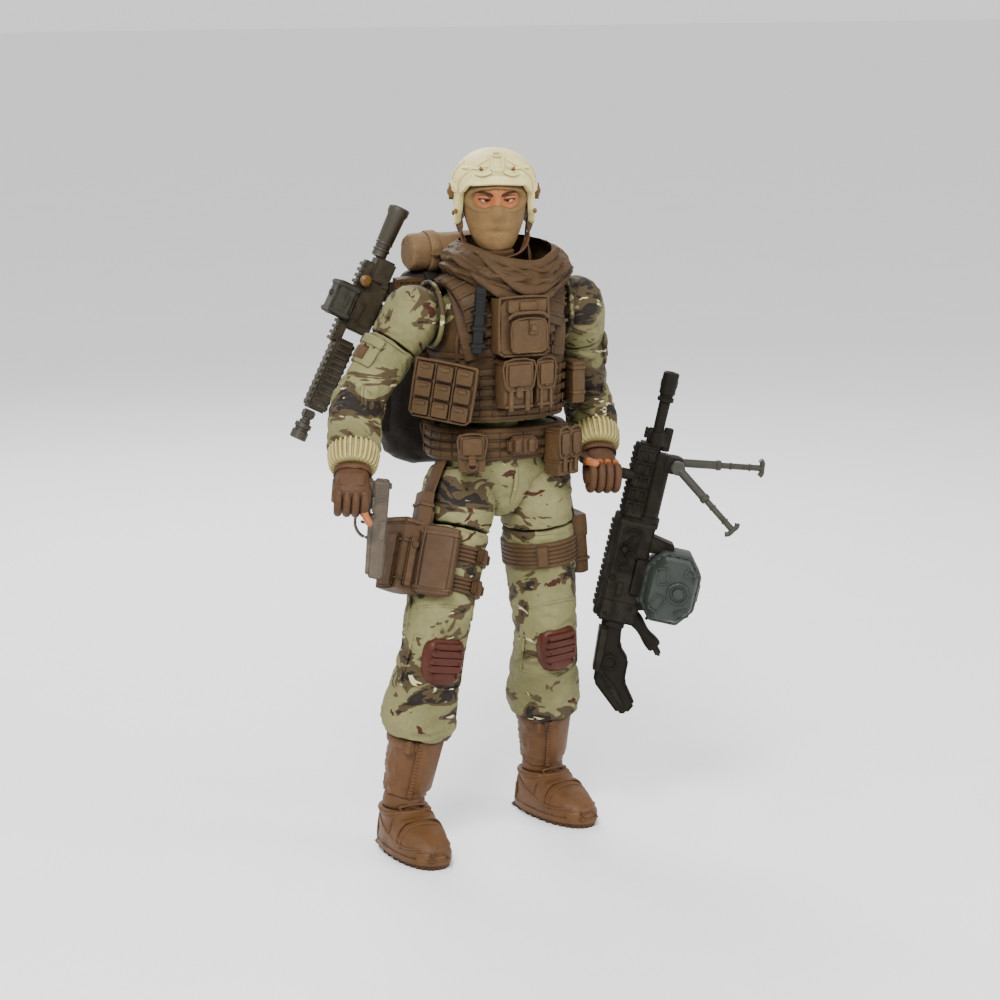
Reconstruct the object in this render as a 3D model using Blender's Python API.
"""Articulated soldier action figure, one twelfth scale, with its kit and weapons.

The figure stands on z = 0 and faces -Y, with its own right hand at -X.
Sizes are written in millimetres and turned into metres by MM.
"""

import math

import bmesh
import bpy
from mathutils import Matrix, Vector

MM = 0.001  # all sizes below are millimetres
GAP = 0.35  # clearance left between pieces that touch
SOCKET_GAP = 0.45  # clearance of a ball in its socket
VEST_GAP = 0.8  # clearance of the vest round the shoulders

# Joint centres of the limbs, right (R) and left (L)
HIP = {"R": (-9.3, 0.0, 80.5), "L": (9.3, 0.0, 80.5)}
KNEE = {"R": (-19.5, -8.0, 48.0), "L": (12.5, 0.5, 46.5)}
ANKLE = {"R": (-25.0, -3.5, 11.5), "L": (16.5, 10.0, 11.5)}
SHOULDER = {"R": (-20.5, 0.0, 121.5), "L": (19.5, 0.0, 121.5)}
ELBOW = {"R": (-34.5, -0.5, 103.0), "L": (27.0, 9.0, 99.5)}
WRIST = {"R": (-40.5, -13.0, 90.0), "L": (23.5, -4.0, 88.5)}
FOOT_TURN = {"R": 2.0, "L": 10.0}  # degrees the toes point towards the figure's left
WAIST = (0.0, 0.5, 97.0)
NECK = (-0.5, 0.5, 129.5)
HEAD = (-0.5, 0.5, 138.5)
HEAD_TURN = -20.0  # the head looks towards the figure's right

# Limb thicknesses
HIP_BALL_R = 8.2
THIGH_R = 7.7
KNEE_R = 6.9
SHAFT_R = 6.3
ANKLE_R = 4.9
SHOULDER_R = 6.6
BICEP_R = 5.6
ELBOW_R = 5.2
FOREARM_R = 5.3
CUFF_R = 4.7
PEG_BALL_R = 3.3
PEG_R = 1.7
SHOULDER_PEG = 9.6  # lengths of the pegs that carry the arms and legs
HIP_PEG = 8.2
WAIST_R = 5.2
NECK_R = 4.0
BICEP_SEAM = -8.0  # heights along a bone, from its top joint
THIGH_SEAM = -8.4
TROUSER_HEM = -20.8
ELBOW_BEND = 112.0  # degrees of bend that the reliefs allow
KNEE_BEND = 106.0
RAISE = 66.0  # degrees that the shoulder's slot lets the arm rise
PALM = 5.6  # from the wrist to the middle of the fist
GRIP_R = 1.35

# Equipment
BAG_TOP = 129.0
BAG_BOTTOM = 85.0
BAG_FRONT = 13.4
BAG_DEPTH = 13.6
BAG_PEG_Z = 116.0
RIFLE_BUTT = (-15.5, 18.5, 143.5)
RIFLE_MUZZLE = (-41.3, 18.5, 92.0)
RIFLE_PEG_DROP = 20.1  # the rifle's peg sits this far below the butt
GUN_TURN = -25.0  # degrees about Z of the machine gun's flat side
GUN_LEAN = 12.5  # degrees the machine gun leans from upright
GUN_REACH = 10.8  # from the left fist's middle to the bore
GUN_SHIFT = 1.6  # the gun's middle plane lies this far behind its peg
GUN_HANG = 24.7  # the peg's distance below the muzzle
PISTOL_LEAN = 5.0

# Middle of the whole object's box, which becomes the origin
BOX_MIDDLE = (7.432, -0.608, 0.0)

SIDES = ("R", "L")
OUT = {"R": -1.0, "L": 1.0}


def material(name, rgb, roughness=0.55, metallic=0.0):
    made = bpy.data.materials.get(name)
    if made is None:
        made = bpy.data.materials.new(name)
        made.use_nodes = True
        shader = made.node_tree.nodes["Principled BSDF"]
        shader.inputs["Base Color"].default_value = (*rgb, 1.0)
        shader.inputs["Roughness"].default_value = roughness
        shader.inputs["Metallic"].default_value = metallic
        made.diffuse_color = (*rgb, 1.0)
    return made


CAMO = ("camo_cloth", (0.42, 0.40, 0.22))
VEST = ("vest_webbing", (0.30, 0.14, 0.06))
POUCH = ("pouch_cloth", (0.38, 0.17, 0.07))
SCARF = ("scarf_cloth", (0.26, 0.14, 0.08))
MASK = ("mask_cloth", (0.38, 0.26, 0.13))
HELMET = ("helmet_shell", (0.66, 0.60, 0.38))
GLOVE = ("glove_leather", (0.18, 0.10, 0.05))
PAD = ("knee_pad", (0.17, 0.04, 0.02))
BOOT = ("boot_leather", (0.34, 0.14, 0.06))
HOLSTER = ("holster_shell", (0.20, 0.10, 0.045))
BAG = ("bag_cloth", (0.05, 0.04, 0.03))
GUN = ("gun_plastic", (0.09, 0.075, 0.06))
DRUM = ("drum_plastic", (0.07, 0.10, 0.09))
PEG = ("joint_plastic", (0.30, 0.27, 0.15))


def mm(point):
    return Vector(point) * MM


def place(obj, matrix):
    """Gives the object the rotation and the place (millimetres) of a frame."""
    obj.rotation_mode = "QUATERNION"
    obj.rotation_quaternion = matrix.to_quaternion()
    obj.location = matrix.translation * MM
    return obj


def add_mesh(name, bm, skin=None, matrix=None, smooth=30.0):
    """Turns a bmesh in millimetres into an object in metres."""
    bmesh.ops.scale(bm, vec=(MM, MM, MM), verts=bm.verts)
    bmesh.ops.recalc_face_normals(bm, faces=bm.faces)
    mesh = bpy.data.meshes.new(name)
    bm.to_mesh(mesh)
    bm.free()
    obj = bpy.data.objects.new(name, mesh)
    bpy.context.scene.collection.objects.link(obj)
    if skin:
        mesh.materials.append(material(*skin))
    if smooth:
        mesh.shade_smooth()
        mesh.set_sharp_from_angle(angle=math.radians(smooth))
    if matrix is not None:
        place(obj, matrix)
    return obj


def loft(name, sections, skin=None, matrix=None, sides=14, square=2.0, smooth=40.0):
    """Closed skin through stacked superellipses, each (x, y, z, half width, half depth)."""
    bm = bmesh.new()
    rings = []
    for x, y, z, half_x, half_y in sections:
        ring = []
        for i in range(sides):
            turn = 2 * math.pi * (i + 0.5) / sides
            c, s = math.cos(turn), math.sin(turn)
            px = math.copysign(abs(c) ** (2 / square), c) * half_x
            py = math.copysign(abs(s) ** (2 / square), s) * half_y
            ring.append(bm.verts.new((x + px, y + py, z)))
        rings.append(ring)
    for low, high in zip(rings, rings[1:]):
        for i in range(sides):
            j = (i + 1) % sides
            bm.faces.new((low[i], low[j], high[j], high[i]))
    bm.faces.new(rings[0])
    bm.faces.new(rings[-1])
    return add_mesh(name, bm, skin, matrix, smooth)


def ball(name, centre, radius, skin=None, detail=16):
    bm = bmesh.new()
    bmesh.ops.create_uvsphere(bm, u_segments=detail, v_segments=detail // 2 + 2, radius=radius)
    return add_mesh(name, bm, skin, Matrix.Translation(centre), 40.0)


def box(name, centre, size, skin=None, turn=0.0, bevel=0.5, matrix=None):
    """Box with one chamfer round its edges, turned about its own upright axis."""
    bm = bmesh.new()
    bmesh.ops.create_cube(bm, size=1.0)
    bmesh.ops.scale(bm, vec=size, verts=bm.verts)
    if bevel:
        bmesh.ops.bevel(bm, geom=bm.edges[:], offset=bevel, segments=1, affect="EDGES")
    own = Matrix.Translation(centre) @ Matrix.Rotation(math.radians(turn), 4, "Z")
    return add_mesh(name, bm, skin, (matrix or Matrix()) @ own, 0.0)


def rod(name, start, end, radius, skin=None, matrix=None, sides=12, end_radius=None):
    """Round bar between two points."""
    start, end = Vector(start), Vector(end)
    bm = bmesh.new()
    bmesh.ops.create_cone(
        bm, cap_ends=True, segments=sides, depth=(end - start).length,
        radius1=radius, radius2=radius if end_radius is None else end_radius)
    aim = (end - start).to_track_quat("Z", "Y").to_matrix().to_4x4()
    own = Matrix.Translation((start + end) / 2) @ aim
    return add_mesh(name, bm, skin, (matrix or Matrix()) @ own, 40.0)


def plate(name, outline, depth, skin=None, matrix=None, middle=0.0):
    """Outline in local X and Z, given a thickness along local Y."""
    bm = bmesh.new()
    face = bm.faces.new([bm.verts.new((x, middle - depth / 2, z)) for x, z in outline])
    grown = bmesh.ops.extrude_face_region(bm, geom=[face])
    moved = [v for v in grown["geom"] if isinstance(v, bmesh.types.BMVert)]
    bmesh.ops.translate(bm, vec=(0, depth, 0), verts=moved)
    return add_mesh(name, bm, skin, matrix, 0.0)


def boolean(obj, other, operation):
    """Adds a Boolean modifier and turns the other object into a hidden guide."""
    modifier = obj.modifiers.new(operation.lower(), "BOOLEAN")
    modifier.operation = operation
    modifier.solver = "EXACT"
    modifier.object = other
    other.hide_render = True
    other.display_type = "WIRE"
    return obj


def cut(obj, *others):
    for other in others:
        boolean(obj, other, "DIFFERENCE")
    return obj


def fuse(obj, *others):
    for other in others:
        boolean(obj, other, "UNION")
    return obj


def bone(top, bottom, front=(0.0, -1.0, 0.0)):
    """Frame at a bone's top joint, -Z down the bone and -Y to the limb's front."""
    z = (Vector(top) - Vector(bottom)).normalized()
    y = -Vector(front)
    x = y.cross(z).normalized()
    y = z.cross(x)
    frame = Matrix((x, y, z)).transposed().to_4x4()
    frame.translation = Vector(top)
    return frame


def relief(name, centre, along, crook, bend):
    """Cutter that opens a joint's inner side so that two bones can meet at a bend (degrees)."""
    along = Vector(along).normalized()
    crook = Vector(crook)
    crook = (crook - along * crook.dot(along)).normalized()
    half = math.radians((180.0 - bend) / 2)
    normal = crook * math.cos(half) - along * math.sin(half)
    turn = normal.to_track_quat("Z", "Y").to_matrix().to_4x4()
    frame = Matrix.Translation(Vector(centre)) @ turn
    return box(name, (0, 0, 8.2), (34, 34, 16), bevel=0, matrix=frame)


def tube(name, points, radius, skin, matrix=None):
    """Strap or cord along hand-placed points."""
    curve = bpy.data.curves.new(name, "CURVE")
    curve.dimensions = "3D"
    spline = curve.splines.new("POLY")
    spline.points.add(len(points) - 1)
    for spot, point in zip(spline.points, points):
        spot.co = (*mm(point), 1.0)
    curve.bevel_depth = radius * MM
    curve.bevel_resolution = 2
    curve.use_fill_caps = True
    curve.materials.append(material(*skin))
    obj = bpy.data.objects.new(name, curve)
    bpy.context.scene.collection.objects.link(obj)
    return place(obj, matrix or Matrix())


def length(top, bottom):
    return (Vector(top) - Vector(bottom)).length


def turned(centre, degrees):
    return Matrix.Translation(centre) @ Matrix.Rotation(math.radians(degrees), 4, "Z")


TORSO_SHAPE = [
    (0, 0.5, 98.8, 12.0, 8.0), (0, 0.5, 103, 12.6, 8.4), (0, 0.5, 112, 13.2, 8.8),
    (-0.3, 0.5, 119, 13.6, 8.4), (-0.5, 0.5, 124, 11.8, 7.2), (-0.5, 0.5, 127.5, 7.4, 6.0),
]
VEST_SHAPE = [
    (0, 0.2, 98.6, 14.6, 10.8), (0, 0.2, 108, 15.3, 11.4), (-0.3, 0.2, 116, 15.2, 11.2),
    (-0.5, 0.4, 121, 12.4, 10.0), (-0.5, 0.5, 124.6, 11.4, 8.6),
]


def grown(sections, by, low=0.0, high=0.0):
    """The same stack of sections, thicker, and longer at its two ends."""
    fat = [(x, y, z, a + by, b + by) for x, y, z, a, b in sections]
    first, last = list(fat[0]), list(fat[-1])
    first[2] -= low
    last[2] += high
    return [tuple(first), *fat[1:-1], tuple(last)]


def fan_slot(name, centre, inward, rise, half_width, reach=12.0):
    """Cutter for the slot that a peg's neck needs as a limb is raised by rise degrees."""
    steps = 5
    low, high = 0.0, math.radians(rise)
    aims = [low + (high - low) * i / steps for i in range(steps + 1)]
    outline = [(half_width * math.sin(low), -half_width * math.cos(low))]
    outline.append((reach * math.cos(low), -half_width))
    outline += [(reach * math.cos(a), reach * math.sin(a)) for a in aims[1:-1]]
    lift = (-half_width * math.sin(high), half_width * math.cos(high))
    outline.append((reach * math.cos(high) + lift[0], reach * math.sin(high) + lift[1]))
    outline.append(lift)
    flipped = [(x * inward[0], z) for x, z in outline]
    return plate(name, flipped, 2 * half_width, None, Matrix.Translation(centre))


def joint_peg(name, centre, inward, reach):
    """Ball and neck that hold a limb to the body; the neck lies on the swing axis."""
    tip = Vector(centre) + Vector(inward) * reach
    peg = rod(name, centre, tip, PEG_R, PEG)
    return fuse(peg, ball(name + "_ball", centre, PEG_BALL_R, detail=14))


def peg_room(name, centre, inward, reach, spread):
    """Cutters for a peg's ball and for the cone its neck sweeps."""
    tip = Vector(centre) + Vector(inward) * reach
    cone = rod(name + "_cone", centre, tip, PEG_R + 0.5, sides=14, end_radius=spread)
    return [ball(name + "_room", centre, PEG_BALL_R + GAP, detail=14), cone]


def make_hips():
    pelvis = loft("pelvis", [
        (0, 0.3, 75.0, 1.4, 4.4), (0, 0.3, 79, 2.4, 6.0), (0, 0.5, 82, 8.0, 6.8), (0, 0.5, 85, 14.6, 7.4),
        (0, 0.5, 87.5, 14.6, 7.8), (0, 0.5, 89.5, 14.4, 9.0), (0, 0.5, 94.6, 13.2, 8.6)],
        CAMO, square=2.3)
    for side in SIDES:
        cut(pelvis, ball("hip_cup_" + side, HIP[side], HIP_BALL_R + SOCKET_GAP))
        inner = Vector(HIP[side]) - Vector((OUT[side] * 8.6, 0, 0))
        cut(pelvis, rod("hip_hole_" + side, HIP[side], inner, PEG_R + GAP))
    cut(pelvis, ball("waist_cup", WAIST, WAIST_R + GAP))
    belt_shape = [(0, 0.3, 88.9, 16.2, 10.8), (0, 0.3, 96.2, 15.7, 10.7)]
    belt = loft("belt", belt_shape, VEST, square=2.3, sides=20)
    cut(belt, loft("belt_hole", [(0, 0.5, 84, 15.1, 9.7), (0, 0.5, 98, 13.6, 9.2)], square=2.3))
    fuse(belt, box("belt_buckle", (1.0, -10.9, 92), (7.4, 2.2, 4.8), bevel=0.3))
    near_belt = loft("belt_clear", grown(belt_shape, GAP, 12, 12), square=2.3, sides=20)
    right = box("belt_pouch_right", (-11.2, -10.8, 91.4), (6.4, 5.6, 8.6), POUCH, turn=-22, bevel=0.7)
    left = box("magazine_pouch_left", (10.8, -11.2, 90.2), (6.8, 5.4, 11.0), POUCH, turn=20, bevel=0.7)
    cut(right, near_belt)
    cut(left, near_belt)
    ball("waist_ball", WAIST, WAIST_R, PEG, detail=14)


def make_torso():
    torso = loft("torso", TORSO_SHAPE, CAMO, square=2.4)
    cut(torso, ball("torso_waist_cup", WAIST, WAIST_R + GAP))
    cut(torso, ball("neck_cup", NECK, NECK_R + GAP))
    vest = loft("vest", VEST_SHAPE, VEST, square=2.5, sides=20)
    cut(vest, loft("vest_hole", grown(TORSO_SHAPE, GAP, 3, 3), square=2.4))
    for side in SIDES:
        cup = ball("shoulder_cup_" + side, SHOULDER[side], SHOULDER_R + SOCKET_GAP)
        inner = Vector(SHOULDER[side]) - Vector((OUT[side] * 10.4, 0, 0))
        hole = rod("shoulder_hole_" + side, SHOULDER[side], inner, PEG_R + GAP)
        cut(torso, cup, hole)
        cut(vest, ball("vest_cup_" + side, SHOULDER[side], SHOULDER_R + VEST_GAP), hole)
    cut(vest, rod("bag_peg_hole", (-0.5, 0, BAG_PEG_Z), (-0.5, 16, BAG_PEG_Z), PEG_R + 0.5))


def make_vest_kit():
    """Pouches, knife and side panels, each shaved to lie on the vest."""
    clear = loft("vest_clear", grown(VEST_SHAPE, GAP, 12, 0), square=2.5, sides=20)
    kit = [
        box("chest_pouch", (-1.0, -13.1, 119.7), (12.4, 5.6, 13.2), POUCH, bevel=0.8),
        box("ammo_pouches", (-1.8, -13.6, 106.6), (7.8, 5.4, 10.4), POUCH, bevel=0.8),
        box("side_panel_right", (-17.2, -9.8, 104.2), (14.0, 4.4, 12.2), POUCH, turn=-40, bevel=0.9),
        box("side_pouch_left", (16.2, -5.4, 103.6), (3.0, 7.4, 10.0), POUCH, bevel=0.8),
        box("sheath_knife", (-10.4, -12.6, 120.6), (2.6, 3.2, 12.8), HOLSTER, bevel=0.5),
    ]
    fuse(kit[1], box("ammo_pouch_small", (5.0, -12.9, 106.6), (5.0, 5.0, 10.4), bevel=0.8),
         box("ammo_pouch_back", (1.6, -12.2, 106.6), (11.0, 2.4, 9.6), bevel=0.2))
    for piece in kit:
        cut(piece, clear)


def make_scarf():
    scarf = loft("scarf", [
        (-0.3, -0.6, 127.0, 12.6, 11.6), (0.2, -0.8, 129.6, 14.8, 13.4),
        (0.4, -0.4, 133.8, 14.8, 13.0), (0.2, 0.0, 136.8, 12.8, 11.6)], SCARF, sides=18)
    cut(scarf, loft("scarf_hole", [(-0.5, 0.0, 120, 10.4, 10.2), (-0.5, 0.0, 140, 10.8, 10.6)],
                    sides=18))
    cut(scarf, loft("scarf_vest_clear", grown(VEST_SHAPE, GAP, 0, 0.4), square=2.5, sides=20),
        loft("scarf_torso_clear", grown(TORSO_SHAPE, GAP, 0, 0.4), square=2.4))
    for side in SIDES:
        cut(scarf, ball("scarf_cup_" + side, SHOULDER[side], SHOULDER_R + SOCKET_GAP))


def make_head():
    """Neck peg, masked head, helmet with brow cut-out and the strap under the chin."""
    neck = rod("neck_peg", NECK, HEAD, 2.4, PEG)
    fuse(neck, ball("neck_foot", NECK, NECK_R), ball("neck_top", HEAD, PEG_BALL_R, detail=14))
    frame = turned(HEAD, HEAD_TURN)
    head = loft("head", [
        (0, -3.4, -3.6, 2.8, 3.6), (0, -1.8, -1.6, 5.0, 6.0), (0, -0.6, 2.0, 6.2, 7.4),
        (0, -0.4, 6.5, 6.7, 8.0), (0, -0.2, 11.0, 6.8, 8.2), (0, 0, 15.0, 5.2, 6.2)],
        MASK, frame, sides=16)
    cut(head, ball("head_room", HEAD, PEG_BALL_R + GAP, detail=14),
        rod("head_cone", HEAD, Vector(HEAD) - Vector((0, 0, 6)), 3.0, end_radius=5.2))
    shell = [(0, 0.6, 2.6, 8.4, 8.6), (0, 0.6, 6.5, 9.0, 9.6), (0, 0.6, 11.5, 9.3, 10.2),
             (0, 0.6, 15.5, 7.9, 8.8), (0, 0.6, 18.2, 4.9, 5.6), (0, 0.6, 19.2, 1.6, 1.8)]
    helmet = loft("helmet", shell, HELMET, frame, sides=20)
    cut(helmet, loft("helmet_hollow", [
        (0, -0.3, 0, 7.6, 8.9), (0, -0.3, 11.0, 7.6, 8.9), (0, -0.1, 15.8, 6.0, 7.1),
        (0, 0, 16.4, 3.0, 3.5)], None, frame, sides=16))
    side_on = frame @ Matrix.Rotation(math.radians(90), 4, "Z")
    cut(helmet, plate("helmet_brow", [(-14, -4), (-14, 11.9), (-4.6, 11.5), (-1.6, 7.0), (-0.9, -4)],
                      30, None, side_on))
    fuse(helmet, box("helmet_mount", (0, -8.3, 15.6), (3.4, 2.4, 3.6), bevel=0.3, matrix=frame))
    for end in (-1, 1):
        fuse(helmet, rod("helmet_dial_%d" % end, (end * 8.2, 0.5, 9.5), (end * 10.2, 0.5, 9.5),
                         1.7, matrix=frame))
    tube("chin_strap", [(-7.6, 0.6, 2.0), (-7.0, -1.0, -1.6), (-5.0, -3.6, -4.8), (0, -4.6, -5.6),
                        (5.0, -3.6, -4.8), (7.0, -1.0, -1.6), (7.6, 0.6, 2.0)], 0.55, GLOVE, frame)


def make_arm(side):
    """Shoulder cap on its peg, upper arm that swivels under it, forearm on the elbow ball."""
    top, mid, end, out = SHOULDER[side], ELBOW[side], WRIST[side], OUT[side]
    inward = (-out, 0, 0)
    joint_peg("shoulder_peg_" + side, top, inward, SHOULDER_PEG)
    upper = bone(top, mid)
    reach = length(top, mid)
    cap = loft("shoulder_" + side, [
        (0, 0, BICEP_SEAM, BICEP_R, BICEP_R), (0, 0, -4.0, 6.3, 6.3), (0, 0, 0.0, 6.2, 6.2)],
        CAMO, upper)
    fuse(cap, ball("shoulder_dome_" + side, top, SHOULDER_R))
    cut(cap, *peg_room("shoulder_" + side, top, inward, SHOULDER_PEG, 3.2),
        fan_slot("raise_slot_" + side, top, inward, RAISE, PEG_R + 0.5))
    cut(cap, rod("bicep_hole_" + side, (0, 0, BICEP_SEAM - 2), (0, 0, BICEP_SEAM + 3.0), 1.9,
                 matrix=upper))
    bicep = loft("upper_arm_" + side, [
        (0, 0, BICEP_SEAM - GAP, BICEP_R, BICEP_R), (0, 0, -14, 5.7, 5.7), (0, 0, -reach, 5.2, 5.2)],
        CAMO, upper)
    to_shoulder = Vector(top) - Vector(mid)
    to_wrist = Vector(end) - Vector(mid)
    crook = to_shoulder.normalized() + to_wrist.normalized()
    cut(bicep, ball("elbow_cup_" + side, mid, ELBOW_R + SOCKET_GAP),
        relief("upper_crook_" + side, mid, to_shoulder, crook, ELBOW_BEND))
    fuse(bicep, rod("bicep_pin_" + side, (0, 0, BICEP_SEAM - 1), (0, 0, BICEP_SEAM + 2.6), 1.5,
                    matrix=upper))
    lower = bone(mid, end, -to_shoulder)
    span = length(mid, end)
    fore = loft("forearm_" + side, [
        (0, 0, -0.5, 4.4, 4.4), (0, 0, -5.0, FOREARM_R, FOREARM_R), (0, 0, -span + 6.6, 5.3, 5.3),
        (0, 0, -span + 4.4, 4.9, 4.9), (0, 0, -span + 0.4, CUFF_R, CUFF_R)], CAMO, lower)
    cut(fore, relief("lower_crook_" + side, mid, to_wrist, crook, ELBOW_BEND))
    fuse(fore, ball("elbow_ball_" + side, mid, ELBOW_R))
    cut(fore, rod("wrist_hole_" + side, (0, 0, -span - 1), (0, 0, -span + 4.4), 1.9, matrix=lower))
    return make_hand(side, lower, span)


def make_hand(side, lower, span):
    """Fist on a wrist pin, with the hole that a weapon's grip slides into."""
    frame = lower @ Matrix.Translation((0, 0, -span))
    hand = loft("hand_" + side, [
        (0, 0, -0.1, 3.4, 3.0), (0, 0, -3.0, 3.8, 3.3), (0, 0, -8.6, 3.6, 3.6),
        (0, 0, -10.2, 2.8, 2.8)], GLOVE, frame, sides=12)
    fuse(hand, rod("wrist_pin_" + side, (0, 0, -1), (0, 0, 3.6), 1.5, matrix=frame))
    centre = frame @ Vector((0, 0, -PALM))
    axis = grip_frame(side, centre).col[0].xyz
    cut(hand, rod("grip_hole_" + side, centre - axis * 7, centre + axis * 7, GRIP_R + GAP))
    return centre


def grip_frame(side, centre):
    """Frame at the fist's middle whose X is the grip that passes through it."""
    lean = GUN_LEAN if side == "L" else PISTOL_LEAN
    return turned(centre, GUN_TURN) @ Matrix.Rotation(math.radians(lean), 4, "Y")


def make_leg(side):
    """Hip cup on its peg, thigh that swivels under it, shin on the knee ball, boot."""
    top, mid, end, out = HIP[side], KNEE[side], ANKLE[side], OUT[side]
    inward = (-out, 0, 0)
    joint_peg("hip_peg_" + side, top, inward, HIP_PEG)
    upper = bone(top, mid)
    reach = length(top, mid)
    hip = loft("hip_" + side, [
        (0, 0, THIGH_SEAM, THIGH_R, THIGH_R), (0, 0, -4.0, 7.3, 7.3), (0, 0, 0.0, 7.2, 7.2)],
        CAMO, upper)
    fuse(hip, ball("hip_dome_" + side, top, HIP_BALL_R))
    cut(hip, *peg_room("hip_" + side, top, inward, 8.9, 5.2))
    cut(hip, rod("thigh_hole_" + side, (0, 0, THIGH_SEAM - 2), (0, 0, THIGH_SEAM + 3.4), 2.3,
                 matrix=upper))
    thigh = loft("thigh_" + side, [
        (0, 0, THIGH_SEAM - GAP, THIGH_R, THIGH_R), (0, 0, -14, 7.6, 7.6), (0, 0, -24, 7.0, 7.2),
        (0, 0, -reach, 6.6, 6.8)], CAMO, upper)
    to_hip = Vector(top) - Vector(mid)
    to_ankle = Vector(end) - Vector(mid)
    cut(thigh, ball("knee_cup_" + side, mid, KNEE_R + SOCKET_GAP),
        relief("knee_back_" + side, mid, to_hip, (0, 1, 0), KNEE_BEND))
    fuse(thigh, rod("thigh_pin_" + side, (0, 0, THIGH_SEAM - 1), (0, 0, THIGH_SEAM + 3.0), 1.9,
                    matrix=upper))
    lower = bone(mid, end)
    span = length(mid, end)
    calf = [(0, 0, -1.0, 5.8, 5.8), (0, 0.2, -6.5, 6.9, 7.0), (0, 0.5, -13, 7.5, 7.8),
            (0, 0.3, -18, 7.4, 7.6), (0, 0.2, TROUSER_HEM, 6.9, 6.9)]
    shin = loft("shin_" + side, calf, CAMO, lower)
    cut(shin, relief("shin_back_" + side, mid, to_ankle, (0, 1, 0), KNEE_BEND))
    fuse(shin, ball("knee_ball_" + side, mid, KNEE_R))
    pad = loft("knee_pad_" + side, [
        (0, -5.4, -6.4, 3.0, 2.3), (0, -5.9, -3.4, 4.0, 2.7), (0, -5.9, 0, 4.2, 2.7),
        (0, -5.4, 2.0, 3.7, 2.4)], PAD, lower, square=2.6)
    cut(pad, loft("pad_clear_" + side, grown(calf[:3], GAP, -3.0), None, lower),
        ball("pad_ball_" + side, mid, KNEE_R + GAP))
    shaft = loft("boot_shaft_" + side, [
        (0, 0.2, -span + 1.6, 5.7, 5.7), (0, 0.2, -span + 6.0, 5.7, 5.8),
        (0, 0.2, TROUSER_HEM - 5, SHAFT_R, SHAFT_R), (0, 0.2, TROUSER_HEM - GAP, 6.4, 6.4)],
        BOOT, lower)
    cut(shaft, ball("ankle_cup_" + side, end, ANKLE_R + SOCKET_GAP))
    frame = turned((end[0], end[1], 0), FOOT_TURN[side])
    boot = loft("boot_" + side, [
        (0, -5.2, 0, 5.3, 12.8), (0, -5.4, 1.6, 5.9, 13.6), (0, -5.3, 4.4, 6.0, 13.3),
        (0, -3.6, 7.2, 5.3, 10.2), (0, -1.2, 9.4, 4.5, 6.4), (0, -0.2, 10.6, 3.6, 4.6)],
        BOOT, frame, sides=16, square=2.3)
    fuse(boot, ball("ankle_ball_" + side, end, ANKLE_R))
    return upper


def make_holster(thigh):
    """Holster, its backing plate and its two leg straps, moulded as one piece."""
    straps = loft("holster", [(0, 0, -12.6, 8.7, 8.7), (0, 0, -23.2, 8.4, 8.6)], HOLSTER, thigh)
    cut(straps, loft("strap_window", [(0, 0, -19.6, 12, 12), (0, 0, -16.2, 12, 12)], None, thigh))
    fuse(straps, box("holster_body", (-11.6, -1.5, -17.2), (7.8, 9.0, 17.0), turn=6, matrix=thigh),
         box("holster_panel", (-6.4, -7.6, -17.4), (8.6, 2.8, 15.6), turn=-40, matrix=thigh),
         box("holster_hanger", (-9.9, -3.0, -7.4), (2.6, 6.0, 8.4), turn=-12, matrix=thigh))
    cut(straps, loft("thigh_clear", [
        (0, 0, -30, 7.3, 7.5), (0, 0, -24, 7.4, 7.6), (0, 0, -14, 8.0, 8.0), (0, 0, -9, 8.1, 8.1),
        (0, 0, -6.5, 8.5, 8.5), (0, 0, 4, 8.5, 8.5)], None, thigh),
        box("holster_mouth", (-12.2, -1.5, -13.2), (4.6, 6.4, 12.0), turn=6, bevel=0, matrix=thigh))


def make_thigh_pouch(thigh):
    strap = loft("thigh_pouch", [(0, 0, -17.4, 8.4, 8.4), (0, 0, -11.6, 8.5, 8.5)], POUCH, thigh)
    fuse(strap, box("thigh_pouch_bag", (8.8, 0.6, -14.8), (3.2, 9.4, 14.6), matrix=thigh))
    cut(strap, loft("left_thigh_clear", [
        (0, 0, -30, 7.3, 7.5), (0, 0, -24, 7.4, 7.6), (0, 0, -14, 8.0, 8.0), (0, 0, -9, 8.1, 8.1),
        (0, 0, 4, 8.1, 8.1)], None, thigh))


def make_backpack():
    middle = BAG_FRONT + BAG_DEPTH / 2
    half = BAG_DEPTH / 2
    bag = loft("backpack", [
        (-1, middle, BAG_BOTTOM, 15.5, half - 2.0), (-1, middle, BAG_BOTTOM + 3, 18.6, half),
        (-1, middle, 100, 19.6, half), (-1, middle, 114, 16.6, half),
        (-1, middle, BAG_TOP - 5, 14.6, half - 0.6), (-1, middle, BAG_TOP, 12.6, half - 2.0)],
        BAG, sides=20, square=3.0)
    fuse(bag, rod("bag_peg", (-0.5, 9.6, BAG_PEG_Z), (-0.5, middle, BAG_PEG_Z), PEG_R))
    peg_z = RIFLE_BUTT[2] - RIFLE_PEG_DROP
    cut(bag, rod("rifle_peg_hole", (-24, 18.5, peg_z), (-9, 18.5, peg_z), 1.7))
    rod("bedroll", (-13.6, 17.6, BAG_TOP + 4.3), (12.6, 17.6, BAG_TOP + 4.3), 3.9, BAG, sides=14)


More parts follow.
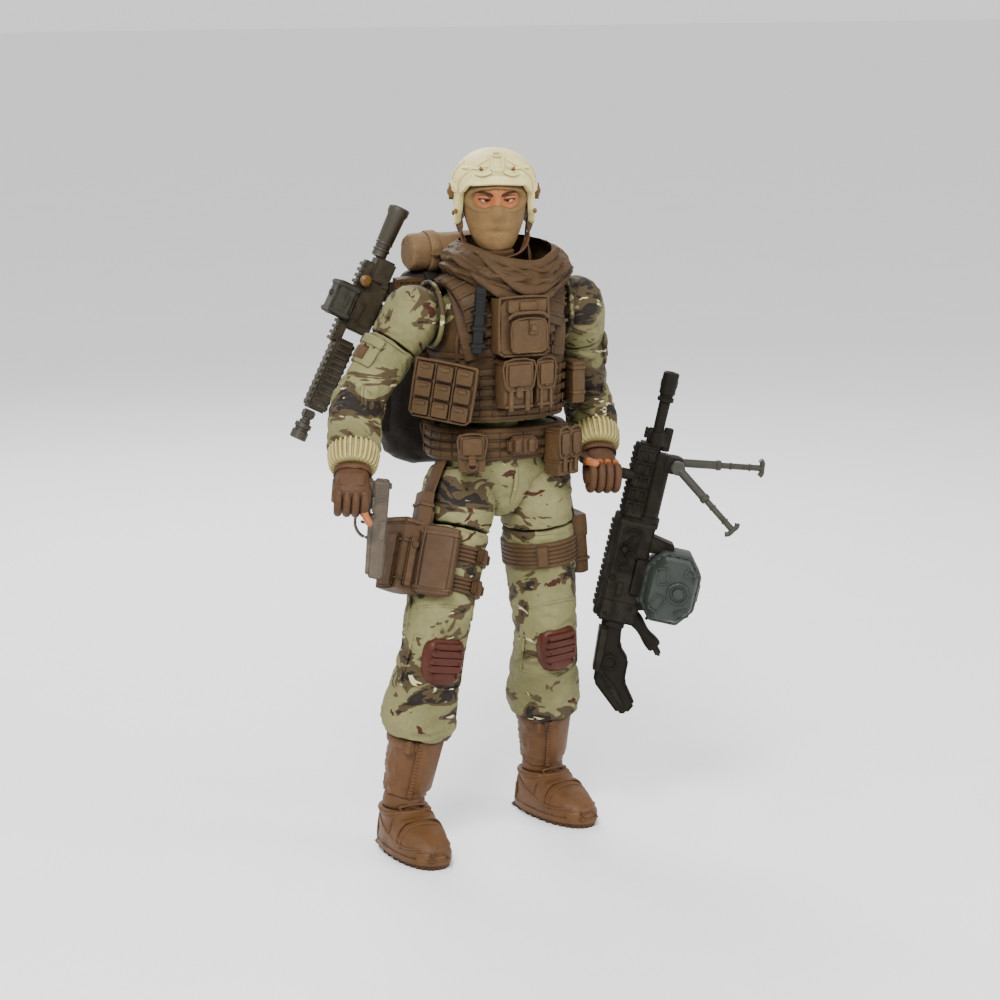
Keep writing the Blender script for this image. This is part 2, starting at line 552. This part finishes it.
def make_rifle():
    """Rifle hung on the backpack's right side, butt up, with its sight."""
    frame = bone(RIFLE_BUTT, RIFLE_MUZZLE)
    side_view = [
        (-1.7, 0), (1.7, 0), (1.7, -12), (4.4, -14), (4.8, -30), (3.3, -33), (3.1, -50), (1.3, -51),
        (1.3, -53), (2.0, -53.6), (2.0, -57.4), (-2.0, -57.4), (-2.0, -53.6), (-1.3, -53), (-1.3, -50),
        (-1.8, -48), (-1.8, -33), (-0.8, -30), (-0.8, -14), (-1.7, -12)]
    rifle = plate("rifle", side_view, 4.2, GUN, frame)
    peg_z = RIFLE_BUTT[2] - RIFLE_PEG_DROP
    fuse(rifle, rod("rifle_peg", (-21.5, RIFLE_BUTT[1], peg_z), (-11, RIFLE_BUTT[1], peg_z), 1.25))
    box("rifle_sight", (-3.9, 0, -24.6), (5.0, 4.6, 8.0), GUN, bevel=0.6, matrix=frame)


def make_pistol(centre):
    frame = grip_frame("R", centre)
    pistol = plate("pistol", [(4.3, 3.4), (4.3, -18.4), (8.1, -18.4), (8.1, 3.4)], 3.0, GUN, frame)
    fuse(pistol, rod("pistol_grip", (-3.8, 0, 0), (5.2, 0, 0), GRIP_R, matrix=frame),
         plate("trigger_guard", [(2.4, -5.4), (2.4, -8.6), (4.8, -9.8), (4.8, -4.6)], 1.4, None,
               frame))


def make_machine_gun(centre):
    """Machine gun with its peg in the left fist; the frame's origin is its muzzle, Z up the bore."""
    frame = grip_frame("L", centre) @ Matrix.Translation((GUN_REACH, GUN_SHIFT, GUN_HANG))
    gun = box("machine_gun", (0.2, 0, -46.0), (8.4, 5.6, 25.0), GUN, bevel=0.4, matrix=frame)
    fuse(gun, box("gun_handguard", (-0.4, 0, -25.0), (7.4, 5.2, 17.6), bevel=0.4, matrix=frame),
         rod("gun_barrel", (0, 0, -18), (0, 0, -3.5), 1.3, matrix=frame),
         rod("gun_brake", (0, 0, -5.2), (0, 0, 0), 1.8, matrix=frame),
         box("gun_gas_block", (2.4, 0, -15.6), (2.6, 2.2, 3.6), bevel=0.3, matrix=frame),
         box("gun_bipod_base", (4.9, 0, -20.6), (4.4, 4.6, 3.6), bevel=0.3, matrix=frame),
         rod("gun_grip", (3.0, 0, -56.8), (10.4, 0, -63.2), 1.9, matrix=frame),
         rod("gun_peg", (-GUN_REACH - 3.2, -GUN_SHIFT, -GUN_HANG), (-3, -GUN_SHIFT, -GUN_HANG),
             GRIP_R, matrix=frame))
    plate("gun_stock", [
        (-2.6, -58.9), (2.2, -58.9), (2.6, -64), (5.2, -67), (5.2, -72.5), (8.8, -77.5), (7.4, -79.8),
        (5.8, -80), (-1.2, -73.6), (-1.6, -66)], 4.0, GUN, frame)
    loft("gun_drum", [
        (0, 0, -3.8, 7.0, 8.8), (0, 0, 3.6, 7.0, 8.8), (0, 0.6, 8.4, 6.2, 7.6)], DRUM,
        frame @ Matrix.Translation((12.0, 0, -47.6)) @ Matrix.Rotation(math.radians(90), 4, "X"),
        sides=8, square=3.2, smooth=20)
    for name, start, foot in (("bipod_leg_far", (6.0, 3.7, -20.6), (26.0, 7.2, -18.2)),
                              ("bipod_leg_near", (6.0, -3.7, -20.6), (20.8, -8.6, -31.0))):
        leg = rod(name, start, foot, 0.9, DRUM, frame, sides=8)
        hub = Vector(start)
        near = hub - Vector((0, math.copysign(1.1, hub.y), 0))
        far = hub + Vector((0, math.copysign(0.9, hub.y), 0))
        heel = Vector(foot) - Vector((0.4, 0, 1.9))
        toe = Vector(foot) + Vector((0.4, 0, 1.9))
        fuse(leg, rod(name + "_hub", near, far, 1.5, matrix=frame, sides=10),
             rod(name + "_foot", heel, toe, 0.9, matrix=frame, sides=8))


def main():
    for old in list(bpy.data.objects):
        bpy.data.objects.remove(old)
    make_hips()
    make_torso()
    make_vest_kit()
    make_scarf()
    make_head()
    palms = {side: make_arm(side) for side in SIDES}
    thighs = {side: make_leg(side) for side in SIDES}
    make_holster(thighs["R"])
    make_thigh_pouch(thighs["L"])
    make_backpack()
    make_rifle()
    make_pistol(palms["R"])
    make_machine_gun(palms["L"])
    origin = bpy.data.objects.new("figure_origin", None)
    bpy.context.scene.collection.objects.link(origin)
    origin.location = -mm(BOX_MIDDLE)
    for obj in bpy.data.objects:
        if obj is not origin:
            obj.parent = origin


main()
